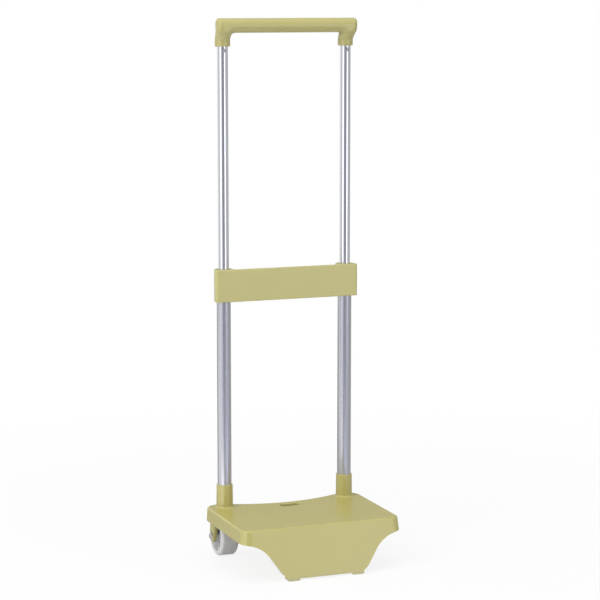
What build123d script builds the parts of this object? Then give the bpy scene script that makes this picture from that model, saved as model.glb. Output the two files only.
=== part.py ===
from build123d import *
from math import cos, radians, sin, sqrt, tan
import os

# Two-tube backpack trolley with its telescopic handle drawn out.
# It stands on the floor: +Z is up, the platform's front faces -Y, and the origin lies on the
# floor under the middle of the trolley. Lengths are in millimetres, angles in degrees.

os.makedirs("parts", exist_ok=True)

# Whole trolley
total_height = 850.0
wall = 3.0  # wall of the platform moulding

# Clearances
fit_clearance = 0.1  # radial, pieces that are fixed in each other
slide_clearance = 0.1  # radial, pieces that slide in each other
running_clearance = 0.05  # radial, wheel on axle
seat_clearance = 0.3  # end play between moving pieces

# Tubes
tube_inset = 28.0  # tube axis from the side of the platform's top
tube_wall = 1.0
outer_tube_diameter = 22.0
inner_tube_diameter = 17.0
tube_overlap = 21.2  # length of the sliding tube still held by the fixed one when drawn out

# Wheels and axle
wheel_diameter = 64.0
wheel_width = 29.0
wheel_rim = 7.5
wheel_web = 5.0
wheel_edge_radius = 5.0
wheel_fillet = 1.5
hub_diameter = 16.0
wheel_inset = 29.5  # middle of the wheel from the side of the platform's top
wheel_clearance = 3.0
axle_diameter = 6.0
axle_chamfer = 0.4
axle_set_back = 8.0  # axle behind the plane of the tubes
fork_thickness = 4.5
fork_side_gap = 1.5  # wheel face to fork leg
fork_eye_diameter = 20.0
fork_top_length = 28.0
cap_diameter = 11.0
cap_length = 4.8
cap_skin = 1.2

# Platform
platform_height = 80.0
platform_width = 261.0
platform_front = 162.0  # plane of the tubes to the front edge of the top
platform_back = 20.0
front_corner = 15.0
back_corner = 20.0
skirt_depth = 21.0
side_draft = 3.4
front_rake = 12.0
top_edge_radius = 3.0
back_land = 32.5  # straight part of the back edge at each end of its curve
back_notch_depth = 24.0
back_notch_blend = 15.0
slot_length = 36.0
slot_width = 14.0
slot_set_forward = 24.0
slot_edge_radius = 1.0
rib_thickness = 2.0
rib_depth = 10.0
cross_rib_pitch = 55.0
cross_ribs = 2

# Front stand
stand_gap = 3.0  # floor to the lower edge of the stand, between its feet
flank_radius = 54.5
flank_angle = 56.0
stand_corner = 24.0
stand_flange = 8.0
foot_width = 20.0
foot_depth = 14.0
foot_spacing = 106.0
foot_edge_radius = 2.5
gusset_depth = 34.0

# Tube sockets
socket_diameter = 26.6
socket_rise = 37.0
socket_draft = 0.8
socket_foot_radius = 3.0
socket_rim_radius = 0.8
socket_floor_gap = 1.0  # wheel arch to the underside of the socket floor

# Crossbar
crossbar_height = 51.0
crossbar_sleeve_diameter = 30.0
crossbar_plate = 6.0
crossbar_skin = 2.5
crossbar_overhang = 17.8  # tube axis to the end of the front plate
crossbar_corner = 4.5
crossbar_edge_radius = 1.5
crossbar_blend = 4.0
crossbar_pockets = 5
crossbar_lip = 2.2
crossbar_lip_chamfer = 1.2

# Handle grip
bar_diameter = 22.5
bar_overhang = 13.8  # tube axis to the end of the bar
bar_end_radius = 9.0  # ends of the bar, seen from above
bar_end_margin = 0.5  # outline of the ends outside the bar, so that it cuts the ends only
bar_edge_radius = 5.0
bar_forward = 11.2  # bar axis in front of the plane of the tubes
sleeve_diameter = 24.0
sleeve_length = 10.5  # straight part of the sleeve below its neck
neck_rise = 21.75  # start of the leaning neck to the axis of the bar
neck_inset = 0.2  # end of the bar to the neck's outer side, where the neck enters the bar
neck_reach = 12.4  # tube axis to the neck's inner side there
neck_step = 0.45  # front of the bar to the neck's front there
sleeve_edge_radius = 1.0
grip_crease_radius = 6.0
tube_seat = 3.0  # inner tube end above the start of the neck
park_gap = 0.5  # grip above the crossbar with the handle pushed in

# Guide bushes and slider caps
bush_length = 19.8
slider_length = 16.0
slider_floor = 3.0
slider_chamfer = 0.8
slider_gap = 1.5  # slider cap above the socket floor with the handle pushed in

# Buttons and their springs
button_diameter = 6.0
button_flange_diameter = 7.2
button_flange = 1.0
button_proud = 1.35
button_dome = 1.8
spring_strip = 0.5
spring_width = 4.5
spring_drop = 25.0
spring_bend_radius = 3.2
spring_pad = 9.0

# Screws
screw_diameter = 3.0
screw_head_diameter = 6.0
screw_head_height = 1.8
screw_recess_width = 0.9
screw_recess_length = 3.4
screw_recess_depth = 1.0
spot_face_depth = 1.6
socket_spot_depth = 0.6
socket_screw_rise = 20.0
crossbar_screw_rise = 12.0
handle_screw_rise = 5.6
handle_screw_reach = 4.0  # screw point beyond the inner face of the tube
screw_point_gap = 0.2  # other screw points short of the inner face of the tube

# Where things stand
tube_x = platform_width / 2 - tube_inset
tube_spacing = 2 * tube_x
outer_tube_radius = outer_tube_diameter / 2
inner_tube_radius = inner_tube_diameter / 2
wheel_radius = wheel_diameter / 2
wheel_x = platform_width / 2 - wheel_inset
front_reach = platform_front + platform_height * tan(radians(front_rake))
rear_reach = axle_set_back + wheel_radius
tube_y = (front_reach - rear_reach) / 2
axle_y = tube_y + axle_set_back
axle_z = wheel_radius
skirt_foot = platform_height - skirt_depth
back_notch_width = platform_width - 2 * back_land
plate_underside = platform_height - wall
socket_top = platform_height + socket_rise
socket_underside = axle_z + wheel_radius + wheel_clearance + socket_floor_gap
outer_tube_foot = socket_underside + wall
fork_gap = wheel_width + 2 * fork_side_gap
fork_outer_x = wheel_x + fork_gap / 2 + fork_thickness

bar_length = tube_spacing + 2 * bar_overhang
bar_z = total_height - bar_diameter / 2
neck_z = bar_z - neck_rise
grip_foot = neck_z - sleeve_length
inner_tube_top = neck_z + tube_seat
crossbar_top = (
    grip_foot - park_gap + outer_tube_foot + slider_gap + tube_overlap + bush_length + crossbar_lip
) / 2
crossbar_foot = crossbar_top - crossbar_height
crossbar_front = tube_y - crossbar_sleeve_diameter / 2
bush_top = crossbar_top - crossbar_lip
outer_tube_top = bush_top - bush_length
handle_travel = grip_foot - park_gap - crossbar_top
slider_foot = outer_tube_top - tube_overlap
inner_tube_foot = slider_foot + slider_floor
lower_button_z = bush_top - seat_clearance - button_diameter / 2
upper_button_z = lower_button_z + handle_travel

outer_tube_bore = outer_tube_radius - tube_wall
inner_tube_bore = inner_tube_radius - tube_wall
bush_bore = inner_tube_radius + slide_clearance
button_tip = inner_tube_radius + button_proud
button_back = sqrt(inner_tube_bore**2 - (button_flange_diameter / 2) ** 2) - slide_clearance - button_flange
spring_back = sqrt(inner_tube_bore**2 - (spring_width / 2) ** 2) - slide_clearance - spring_strip / 2
axle_half_length = fork_outer_x + cap_length - cap_skin - fit_clearance

socket_screw_z = platform_height + socket_screw_rise
crossbar_screw_z = crossbar_foot + crossbar_screw_rise
handle_screw_z = grip_foot + handle_screw_rise
socket_face = socket_diameter / 2 - socket_screw_rise * tan(radians(socket_draft))
socket_seat = socket_face - socket_spot_depth
crossbar_seat = crossbar_sleeve_diameter / 2 - spot_face_depth
handle_seat = sleeve_diameter / 2 - spot_face_depth
set_point = outer_tube_bore + screw_point_gap
handle_point = inner_tube_bore - handle_screw_reach

sides = {"left": -1, "right": 1}


def save(piece, name):
    """Label a finished piece and write it."""
    piece.part.label = name
    export_step(piece.part, f"parts/{name}.step")


def back_plane(x, radius, height):
    """Plane that faces backwards, at a radius behind the axis of a tube."""
    return Plane((x, tube_y + radius, height), x_dir=(1, 0, 0), z_dir=(0, 1, 0))


def front_plane(x, radius, height):
    """Plane that faces forwards, at a radius in front of the axis of a tube."""
    return Plane((x, tube_y - radius, height), x_dir=(1, 0, 0), z_dir=(0, -1, 0))


# Platform moulding


def platform_outline(height, inset=0.0):
    """Plan outline of the platform at one height, drafted at the sides and raked in front."""
    drop = platform_height - height
    side = platform_width / 2 + drop * tan(radians(side_draft)) - inset
    front = tube_y - platform_front - drop * tan(radians(front_rake)) + inset
    back = tube_y + platform_back - inset
    notch = back_notch_width / 2
    with BuildSketch(Plane.XY.offset(height)) as outline:
        with BuildLine():
            Polyline((notch, back), (side, back), (side, front))
            Line((side, front), (-side, front))
            Polyline((-side, front), (-side, back), (-notch, back))
            ThreePointArc((-notch, back), (0, back - back_notch_depth), (notch, back))
        make_face()
        fillet(outline.vertices().group_by(Axis.Y)[0], radius=front_corner - inset)
        back_vertices = outline.vertices().group_by(Axis.Y)[-1].sort_by(Axis.X)
        fillet([back_vertices[0], back_vertices[-1]], radius=back_corner - inset)
        notch_ends = outline.vertices().sort_by_distance((0, back))[:2]
        fillet(notch_ends, radius=back_notch_blend - inset)
    return outline.sketch


def back_edge_at(x):
    """Y of the platform's back edge: a curve, then a straight part and a corner at each end."""
    half_notch = back_notch_width / 2
    past_corner = max(abs(x) - (platform_width / 2 - back_corner), 0)
    if abs(x) >= half_notch:
        return tube_y + platform_back - back_corner + sqrt(back_corner**2 - past_corner**2)
    notch_radius = (half_notch**2 + back_notch_depth**2) / (2 * back_notch_depth)
    rise = notch_radius - sqrt(notch_radius**2 - x**2)
    return tube_y + platform_back - back_notch_depth + rise


def front_at(height, depth=0.0):
    """Point of the raked front face at one height, as (Y, Z), set back by a depth."""
    drop = platform_height - height
    return (tube_y - platform_front - drop * tan(radians(front_rake)) + depth, height)


def stand_outline(margin=0.0):
    """Front view of the stand: curved flanks that run down to the feet, grown by a margin."""
    corner_x = platform_width / 2 + skirt_depth * tan(radians(side_draft))
    turn = radians(flank_angle)
    bend_end = (
        corner_x - flank_radius * sin(turn),
        skirt_foot - flank_radius * (1 - cos(turn)),
    )
    bend_middle = (
        corner_x - flank_radius * sin(turn / 2),
        skirt_foot - flank_radius * (1 - cos(turn / 2)),
    )
    toe = (bend_end[0] - (bend_end[1] - stand_gap) / tan(turn), stand_gap)
    with BuildSketch(Plane.XZ) as outline:
        with BuildLine():
            Polyline((0, stand_gap), toe, bend_end)
            ThreePointArc(bend_end, bend_middle, (corner_x, skirt_foot))
            Polyline(
                (corner_x, skirt_foot),
                (corner_x + front_reach, skirt_foot),
                (corner_x + front_reach, platform_height),
                (0, platform_height),
                (0, stand_gap),
            )
        make_face()
        fillet(outline.vertices().sort_by_distance(toe)[0], radius=stand_corner)
        mirror(about=Plane.YZ)
        if margin:
            offset(amount=margin, kind=Kind.INTERSECTION)
    return outline.sketch


def behind_front(outline, near, far):
    """Solid of a front view, kept between two depths behind the raked front face."""
    with BuildPart() as slab:
        extrude(outline, amount=2 * front_reach, both=True)
        with BuildSketch(Plane.YZ):
            with BuildLine():
                Polyline(
                    front_at(0, near),
                    front_at(0, far),
                    front_at(platform_height, far),
                    front_at(platform_height, near),
                    close=True,
                )
            make_face()
        extrude(amount=platform_width, both=True, mode=Mode.INTERSECT)
    return slab.part


def beside_stand(top, margin, depth):
    """Space in a band behind the front face, up to a height, outside the stand's outline."""
    with BuildSketch(Plane.XZ) as band:
        Rectangle(2 * platform_width, top, align=(Align.CENTER, Align.MIN))
    with BuildPart() as space:
        add(behind_front(band.sketch, -wall, depth))
        add(behind_front(stand_outline(margin), -2 * wall, 2 * depth), mode=Mode.SUBTRACT)
    return space.part


with BuildPart() as cavity:
    loft([platform_outline(0, wall), platform_outline(plate_underside, wall)], ruled=True)
    add(beside_stand(skirt_foot + wall, -wall, stand_flange), mode=Mode.SUBTRACT)

with BuildSketch(Plane.XZ) as foot_outline:
    with GridLocations(foot_spacing, 0, 2, 1):
        Rectangle(foot_width, stand_gap + 2 * wall, align=(Align.CENTER, Align.MIN))
    fillet(foot_outline.vertices().group_by(Axis.Y)[0], radius=foot_edge_radius)

with BuildPart() as ribs:
    with BuildSketch(Plane.XY.offset(plate_underside - rib_depth)):
        with GridLocations(foot_spacing, 0, 2, 1):
            Rectangle(rib_thickness, 2 * front_reach)
        with Locations((0, tube_y - platform_front / 2)):
            with GridLocations(0, cross_rib_pitch, 1, cross_ribs):
                Rectangle(2 * platform_width, rib_thickness)
    extrude(amount=rib_depth + wall / 2)
    rib_space = [platform_outline(height, wall / 2) for height in (0, platform_height - wall / 2)]
    loft(rib_space, ruled=True, mode=Mode.INTERSECT)

with BuildPart() as base_shell:
    # Raked box with rounded corners and a curved back, hollow from below
    loft([platform_outline(stand_gap), platform_outline(platform_height)], ruled=True)
    fillet(base_shell.faces().sort_by(Axis.Z)[-1].edges(), radius=top_edge_radius)
    add(cavity.part, mode=Mode.SUBTRACT)

    # Skirt cut to its depth behind the front stand, and the stand cut to its curved flanks
    with BuildSketch(Plane.YZ):
        with BuildLine():
            Polyline(
                front_at(0, stand_flange),
                (tube_y + front_reach, 0),
                (tube_y + front_reach, skirt_foot),
                front_at(skirt_foot, stand_flange),
                close=True,
            )
        make_face()
    extrude(amount=platform_width, both=True, mode=Mode.SUBTRACT)
    add(beside_stand(skirt_foot, 0, stand_flange + wall), mode=Mode.SUBTRACT)

    # Feet, the gussets that carry them, and ribs under the platform
    add(behind_front(foot_outline.sketch, 0, foot_depth))
    for side in sides.values():
        with BuildSketch(Plane.YZ.offset(side * foot_spacing / 2)):
            with BuildLine():
                Polyline(
                    front_at(stand_gap, wall / 2),
                    front_at(stand_gap, foot_depth),
                    front_at(plate_underside, gusset_depth),
                    front_at(plate_underside, wall / 2),
                    close=True,
                )
            make_face()
        extrude(amount=rib_thickness / 2, both=True)
    add(ribs.part)

    # Fork legs on both sides of each wheel
    for side in sides.values():
        for leg in (-1, 1):
            leg_x = side * wheel_x + leg * (fork_gap + fork_thickness) / 2
            leg_faces = [abs(leg_x) + face * fork_thickness / 2 for face in (-1, 1)]
            leg_back = min(back_edge_at(face) for face in leg_faces) - wall / 2
            with BuildSketch(Plane.YZ.offset(leg_x)):
                with Locations((axle_y, axle_z)):
                    Circle(fork_eye_diameter / 2)
                with Locations((leg_back, plate_underside)):
                    Rectangle(fork_top_length, wall / 2, align=(Align.MAX, Align.MIN))
                make_hull()
            extrude(amount=fork_thickness / 2, both=True)

    # Tube sockets
    for side in sides.values():
        with Locations((side * tube_x, tube_y, platform_height)):
            Cone(
                socket_diameter / 2,
                socket_diameter / 2 - socket_rise * tan(radians(socket_draft)),
                socket_rise,
                align=(Align.CENTER, Align.CENTER, Align.MIN),
            )
        with Locations((side * tube_x, tube_y, socket_underside)):
            Cylinder(
                socket_diameter / 2,
                plate_underside - socket_underside + wall / 2,
                align=(Align.CENTER, Align.CENTER, Align.MIN),
            )
    foot_circles = base_shell.edges().filter_by(GeomType.CIRCLE).filter_by_position(
        Axis.Z, platform_height, platform_height
    )
    fillet(
        foot_circles.filter_by(lambda e: abs(e.radius - socket_diameter / 2) < fit_clearance),
        radius=socket_foot_radius,
    )
    fillet(
        base_shell.edges().filter_by_position(Axis.Z, socket_top, socket_top),
        radius=socket_rim_radius,
    )
    with Locations(*[(side * tube_x, tube_y, outer_tube_foot) for side in sides.values()]):
        Cylinder(
            outer_tube_radius + fit_clearance,
            total_height,
            align=(Align.CENTER, Align.CENTER, Align.MIN),
            mode=Mode.SUBTRACT,
        )

    # Wheel arches, axle holes, strap slot and screw holes
    with Locations(*[(side * wheel_x, axle_y, axle_z) for side in sides.values()]):
        Cylinder(wheel_radius + wheel_clearance, fork_gap, rotation=(0, 90, 0), mode=Mode.SUBTRACT)
    with Locations((0, axle_y, axle_z)):
        Cylinder(axle_diameter / 2 + fit_clearance, platform_width, rotation=(0, 90, 0), mode=Mode.SUBTRACT)
    with BuildSketch(Plane.XY.offset(platform_height)):
        with Locations((0, tube_y - slot_set_forward)):
            SlotOverall(slot_length, slot_width)
    extrude(amount=-2 * wall, mode=Mode.SUBTRACT)
    slot_middle = Vertex(0, tube_y - slot_set_forward, platform_height)
    top_edges = base_shell.edges().filter_by_position(Axis.Z, platform_height, platform_height)
    fillet(
        top_edges.filter_by(lambda e: e.distance_to(slot_middle) < slot_length / 2),
        radius=slot_edge_radius,
    )
    for side in sides.values():
        with Locations(back_plane(side * tube_x, socket_face, socket_screw_z)):
            CounterBoreHole(
                screw_diameter / 2 + fit_clearance,
                screw_head_diameter / 2 + fit_clearance,
                socket_spot_depth,
                depth=socket_face,
            )
save(base_shell, "base_shell")

# Fixed tubes and the bushes on top of them


def tube(x, foot, top, outer_radius, inner_radius):
    """Ring section of a standing tube or bush, drawn up from its foot to its top."""
    with BuildPart() as pipe:
        with BuildSketch(Plane.XY.offset(foot)):
            with Locations((x, tube_y)):
                Circle(outer_radius)
                Circle(inner_radius, mode=Mode.SUBTRACT)
        extrude(amount=top - foot)
    return pipe.part


for name, side in sides.items():
    with BuildPart() as outer_tube:
        add(tube(side * tube_x, outer_tube_foot, outer_tube_top, outer_tube_radius, outer_tube_bore))
        for height in (socket_screw_z, crossbar_screw_z):
            with Locations(back_plane(side * tube_x, outer_tube_radius, height)):
                Hole(screw_diameter / 2 + fit_clearance, depth=outer_tube_radius)
    save(outer_tube, f"outer_tube_{name}")

    with BuildPart() as guide_bush:
        add(tube(side * tube_x, outer_tube_top, bush_top, outer_tube_radius, bush_bore))
        with Locations((side * tube_x, tube_y, bush_top)):
            Box(
                button_diameter + 2 * seat_clearance,
                outer_tube_diameter,
                button_diameter + 2 * seat_clearance,
                align=(Align.CENTER, Align.MAX, Align.MAX),
                mode=Mode.SUBTRACT,
            )
    save(guide_bush, f"guide_bush_{name}")

# Crossbar

with BuildPart() as crossbar:
    sleeve_radius = crossbar_sleeve_diameter / 2
    plate_back = crossbar_front + crossbar_plate
    with BuildSketch(Plane.XY.offset(crossbar_foot)) as plan:
        with Locations((0, crossbar_front)):
            Rectangle(tube_spacing, crossbar_plate, align=(Align.CENTER, Align.MIN))
        for side in sides.values():
            with Locations((side * tube_x, tube_y)):
                Circle(sleeve_radius)
            with BuildLine():
                Polyline(
                    (side * tube_x, tube_y),
                    (side * tube_x, crossbar_front),
                    (side * (tube_x + crossbar_overhang), crossbar_front),
                    (side * (tube_x + sleeve_radius), tube_y),
                    close=True,
                )
            make_face()
        ends = plan.vertices().group_by(Axis.X)
        fillet(ends[0] + ends[-1], radius=crossbar_corner)
        fillet(
            plan.vertices().filter_by(lambda v: abs(v.Y - plate_back) < fit_clearance),
            radius=crossbar_blend,
        )
    extrude(amount=crossbar_height)
    fillet(
        crossbar.faces().sort_by(Axis.Z)[0].edges() + crossbar.faces().sort_by(Axis.Z)[-1].edges(),
        radius=crossbar_edge_radius,
    )

    # Pockets between stiffening ribs on the back of the plate
    pocket_pitch = (tube_spacing - crossbar_sleeve_diameter) / crossbar_pockets
    plate_middle = crossbar_foot + crossbar_height / 2
    with BuildSketch(Plane((0, plate_back, plate_middle), x_dir=(1, 0, 0), z_dir=(0, 1, 0))):
        with GridLocations(pocket_pitch, 0, crossbar_pockets, 1):
            RectangleRounded(
                pocket_pitch - rib_thickness, crossbar_height - 2 * crossbar_skin, crossbar_skin
            )
    extrude(amount=crossbar_skin - crossbar_plate, mode=Mode.SUBTRACT)

    # Seats for the tubes and bushes, closed above by a lip round the inner tubes
    for side in sides.values():
        with Locations((side * tube_x, tube_y, bush_top)):
            Cylinder(
                outer_tube_radius + fit_clearance,
                2 * crossbar_height,
                align=(Align.CENTER, Align.CENTER, Align.MAX),
                mode=Mode.SUBTRACT,
            )
            Cylinder(inner_tube_radius + seat_clearance, 2 * crossbar_height, mode=Mode.SUBTRACT)
        with Locations(back_plane(side * tube_x, sleeve_radius, crossbar_screw_z)):
            CounterBoreHole(
                screw_diameter / 2 + fit_clearance,
                screw_head_diameter / 2 + fit_clearance,
                spot_face_depth,
                depth=sleeve_radius,
            )
    lip_edges = crossbar.edges().filter_by(GeomType.CIRCLE).group_by(Axis.Z)[-1]
    chamfer(lip_edges, length=crossbar_lip_chamfer)
save(crossbar, "crossbar")

# Sliding tubes and their caps

for name, side in sides.items():
    with BuildPart() as inner_tube:
        add(tube(side * tube_x, inner_tube_foot, inner_tube_top, inner_tube_radius, inner_tube_bore))
        for height in (lower_button_z, upper_button_z):
            with Locations(front_plane(side * tube_x, inner_tube_radius, height)):
                Hole(button_diameter / 2 + slide_clearance, depth=inner_tube_radius)
        with Locations(back_plane(side * tube_x, inner_tube_radius, handle_screw_z)):
            Hole(screw_diameter / 2 + fit_clearance, depth=inner_tube_radius)
    save(inner_tube, f"inner_tube_{name}")

    with BuildPart() as slider_cap:
        with BuildSketch(Plane.XY.offset(slider_foot)):
            with Locations((side * tube_x, tube_y)):
                Circle(outer_tube_bore - slide_clearance)
        extrude(amount=slider_length)
        with Locations((side * tube_x, tube_y, inner_tube_foot)):
            Cylinder(
                inner_tube_radius + fit_clearance,
                slider_length,
                align=(Align.CENTER, Align.CENTER, Align.MIN),
                mode=Mode.SUBTRACT,
            )
        chamfer(slider_cap.edges().group_by(Axis.Z)[0], length=slider_chamfer)
    save(slider_cap, f"slider_cap_{name}")

# Handle grip

with BuildPart() as handle_grip:
    bar_y = tube_y - bar_forward
    neck_spread = (bar_overhang - neck_inset - neck_reach) / 2
    with BuildSketch(Plane((0, bar_y, bar_z), x_dir=(0, -1, 0), z_dir=(-1, 0, 0))):
        Circle(bar_diameter / 2)
    extrude(amount=bar_length / 2, both=True)
    with BuildSketch(Plane.XY.offset(bar_z)):
        with Locations((0, bar_y)):
            RectangleRounded(bar_length, bar_diameter + 2 * bar_end_margin, bar_end_radius)
    extrude(amount=bar_diameter, both=True, mode=Mode.INTERSECT)
    fillet(handle_grip.edges().filter_by(GeomType.LINE, reverse=True), radius=bar_edge_radius)

    # Necks that lean forward from the tubes into the bar
    for side in sides.values():
        with BuildSketch(Plane.XY.offset(neck_z)) as neck_foot:
            with Locations((side * tube_x, tube_y)):
                Circle(sleeve_diameter / 2)
        with BuildSketch(Plane.XY.offset(bar_z)) as neck_head:
            with Locations((side * (tube_x + neck_spread), bar_y)):
                Ellipse(neck_reach + neck_spread, bar_diameter / 2 - neck_step)
        loft([neck_foot.sketch, neck_head.sketch], ruled=True)
    creases = handle_grip.edges().filter_by(GeomType.BSPLINE).filter_by_position(
        Axis.Z, neck_z, bar_z - bar_edge_radius
    )
    fillet(creases, radius=grip_crease_radius)

    # Straight sleeves below the necks, with their tube seats and screw seats
    with BuildSketch(Plane.XY.offset(neck_z)):
        with Locations((-tube_x, tube_y), (tube_x, tube_y)):
            Circle(sleeve_diameter / 2)
    extrude(amount=-sleeve_length)
    fillet(handle_grip.edges().group_by(Axis.Z)[0], radius=sleeve_edge_radius)
    for side in sides.values():
        with Locations((side * tube_x, tube_y, inner_tube_top)):
            Cylinder(
                inner_tube_radius + fit_clearance,
                total_height,
                align=(Align.CENTER, Align.CENTER, Align.MAX),
                mode=Mode.SUBTRACT,
            )
        with Locations(back_plane(side * tube_x, sleeve_diameter / 2, handle_screw_z)):
            CounterBoreHole(
                screw_diameter / 2 + fit_clearance,
                screw_head_diameter / 2 + fit_clearance,
                spot_face_depth,
                depth=sleeve_diameter / 2,
            )
save(handle_grip, "handle_grip")

# Spring buttons in the sliding tubes

for name, side in sides.items():
    for level, height in (("upper", upper_button_z), ("lower", lower_button_z)):
        across = Plane((side * tube_x, tube_y, height), x_dir=(0, -1, 0), z_dir=(-1, 0, 0))
        with BuildPart() as button:
            with BuildSketch(across):
                with BuildLine():
                    Polyline(
                        (button_tip, 0),
                        (button_back, 0),
                        (button_back, button_flange_diameter / 2),
                        (button_back + button_flange, button_flange_diameter / 2),
                        (button_back + button_flange, button_diameter / 2),
                        (button_tip - button_dome, button_diameter / 2),
                    )
                    EllipticalCenterArc(
                        (button_tip - button_dome, 0),
                        button_dome,
                        button_diameter / 2,
                        start_angle=0,
                        arc_size=90,
                    )
                make_face()
            revolve(axis=Axis(across.origin, across.x_dir))
        save(button, f"{level}_button_{name}")

        with BuildPart() as spring:
            with BuildSketch(across):
                with BuildLine():
                    Polyline(
                        (button_back - spring_strip / 2, spring_pad / 2),
                        (button_back - spring_strip / 2, -spring_pad / 2),
                        (spring_bend_radius, -spring_drop),
                    )
                    ThreePointArc(
                        (spring_bend_radius, -spring_drop),
                        (0, -spring_drop - spring_bend_radius),
                        (-spring_bend_radius, -spring_drop),
                    )
                    Line((-spring_bend_radius, -spring_drop), (-spring_back, spring_pad / 2))
                trace(line_width=spring_strip)
            extrude(amount=spring_width / 2, both=True)
        save(spring, f"{level}_spring_{name}")

# Wheels, axle and its caps

with BuildPart() as axle:
    with BuildSketch(Plane.YZ):
        with Locations((axle_y, axle_z)):
            Circle(axle_diameter / 2)
    extrude(amount=axle_half_length, both=True)
    chamfer(axle.edges().filter_by(GeomType.CIRCLE), length=axle_chamfer)
save(axle, "axle")

for name, side in sides.items():
    hub = Plane((side * wheel_x, axle_y, axle_z), x_dir=(1, 0, 0), z_dir=(0, -1, 0))
    bore = axle_diameter / 2 + running_clearance
    with BuildPart() as wheel:
        with BuildSketch(hub) as section_view:
            with Locations((0, wheel_radius)):
                Rectangle(wheel_width, wheel_rim, align=(Align.CENTER, Align.MAX))
            with Locations((0, bore)):
                Rectangle(wheel_web, wheel_radius - bore, align=(Align.CENTER, Align.MIN))
                Rectangle(
                    fork_gap - 2 * seat_clearance,
                    hub_diameter / 2 - bore,
                    align=(Align.CENTER, Align.MIN),
                )
            rings = section_view.vertices().group_by(Axis.Y)
            fillet(rings[-1], radius=wheel_edge_radius)
            fillet([vertex for ring in rings[1:-1] for vertex in ring], radius=wheel_fillet)
        revolve(axis=Axis(hub.origin, hub.x_dir))
    save(wheel, f"wheel_{name}")

    end = Plane((side * fork_outer_x, axle_y, axle_z), x_dir=(side, 0, 0), z_dir=(0, -side, 0))
    with BuildPart() as axle_cap:
        with BuildSketch(end):
            with BuildLine():
                Polyline(
                    (cap_length, 0),
                    (cap_length - cap_skin, 0),
                    (cap_length - cap_skin, axle_diameter / 2 + fit_clearance),
                    (0, axle_diameter / 2 + fit_clearance),
                    (0, cap_diameter / 2),
                    (cap_skin, cap_diameter / 2),
                )
                EllipticalCenterArc(
                    (cap_skin, 0),
                    cap_length - cap_skin,
                    cap_diameter / 2,
                    start_angle=0,
                    arc_size=90,
                )
            make_face()
        revolve(axis=Axis(end.origin, end.x_dir))
    save(axle_cap, f"axle_cap_{name}")

# Screws at the back of the sockets, crossbar and grip


def pan_screw(x, seat_radius, height, point_radius):
    """Pan-head screw that points at a tube's axis, given by the radii of its seat and point."""
    seat = Plane((x, tube_y + seat_radius, height), x_dir=(1, 0, 0), z_dir=(0, 0, 1))
    with BuildPart() as screw:
        with BuildSketch(seat) as half:
            Rectangle(screw_diameter / 2, seat_radius - point_radius, align=(Align.MIN, Align.MAX))
            Rectangle(screw_head_diameter / 2, screw_head_height, align=(Align.MIN, Align.MIN))
            crown = half.vertices().group_by(Axis.Y)[-1].sort_by(Axis.X)[-1]
            fillet(crown, radius=screw_head_height / 2)
        revolve(axis=Axis(seat.origin, (0, 1, 0)))
        with Locations(back_plane(x, seat_radius + screw_head_height, height)):
            for turn in (0, 90):
                Box(
                    screw_recess_length,
                    screw_recess_width,
                    screw_recess_depth,
                    rotation=(0, 0, turn),
                    align=(Align.CENTER, Align.CENTER, Align.MAX),
                    mode=Mode.SUBTRACT,
                )
    return screw


for name, side in sides.items():
    x = side * tube_x
    save(pan_screw(x, socket_seat, socket_screw_z, set_point), f"socket_screw_{name}")
    save(pan_screw(x, crossbar_seat, crossbar_screw_z, set_point), f"crossbar_screw_{name}")
    save(pan_screw(x, handle_seat, handle_screw_z, handle_point), f"handle_screw_{name}")
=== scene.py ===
# %% [markdown]
# # A backpack trolley
# The trolley's construction is already there as a frame of thirty pieces at their real size. This
# lesson gives them their finishes, adds the small moulding marks that only show close up, and sets
# them under soft studio light. We start by loading the frame.

# %% Load the frame
import math

import bmesh
import bpy
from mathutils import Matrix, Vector
from mathutils.bvhtree import BVHTree


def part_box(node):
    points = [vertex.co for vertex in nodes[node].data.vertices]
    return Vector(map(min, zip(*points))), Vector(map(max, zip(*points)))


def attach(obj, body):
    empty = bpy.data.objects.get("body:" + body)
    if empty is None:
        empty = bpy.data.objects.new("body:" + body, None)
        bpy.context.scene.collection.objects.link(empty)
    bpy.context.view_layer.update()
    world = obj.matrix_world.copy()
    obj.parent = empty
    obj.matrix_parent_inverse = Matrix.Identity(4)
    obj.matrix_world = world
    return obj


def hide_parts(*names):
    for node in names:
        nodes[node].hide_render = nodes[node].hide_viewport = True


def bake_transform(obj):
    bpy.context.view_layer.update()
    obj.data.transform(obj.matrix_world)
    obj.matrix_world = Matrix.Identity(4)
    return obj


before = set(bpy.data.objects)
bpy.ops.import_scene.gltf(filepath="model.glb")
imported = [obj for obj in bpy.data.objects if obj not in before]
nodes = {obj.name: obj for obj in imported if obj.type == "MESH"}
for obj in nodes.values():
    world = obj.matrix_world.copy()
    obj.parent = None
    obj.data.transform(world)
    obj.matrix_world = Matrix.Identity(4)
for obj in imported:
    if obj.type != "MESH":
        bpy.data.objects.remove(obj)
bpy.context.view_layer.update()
print("pieces in the frame:", len(nodes))

# %% [markdown]
# ## Places that the frame gives
# A finish or a mark that belongs to one spot takes that spot from the frame, so nothing is placed
# by eye. All lengths are metres, +Z is up and the trolley's front faces -Y.

# %% Read the main places
tube_low, tube_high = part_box("outer_tube_right")
tube_x = (tube_low.x + tube_high.x) / 2
tube_y = (tube_low.y + tube_high.y) / 2
print("tubes stand at x = +-%.4f, y = %.4f" % (tube_x, tube_y))

# %% [markdown]
# ## The camera
# The photograph was taken from the front left, a little above the platform, with a long lens. Its
# edges and the known height fix where the camera stood: we place it by its compass direction, its
# distance from the tubes and its height, and tilt it down without any lens shift.

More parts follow.
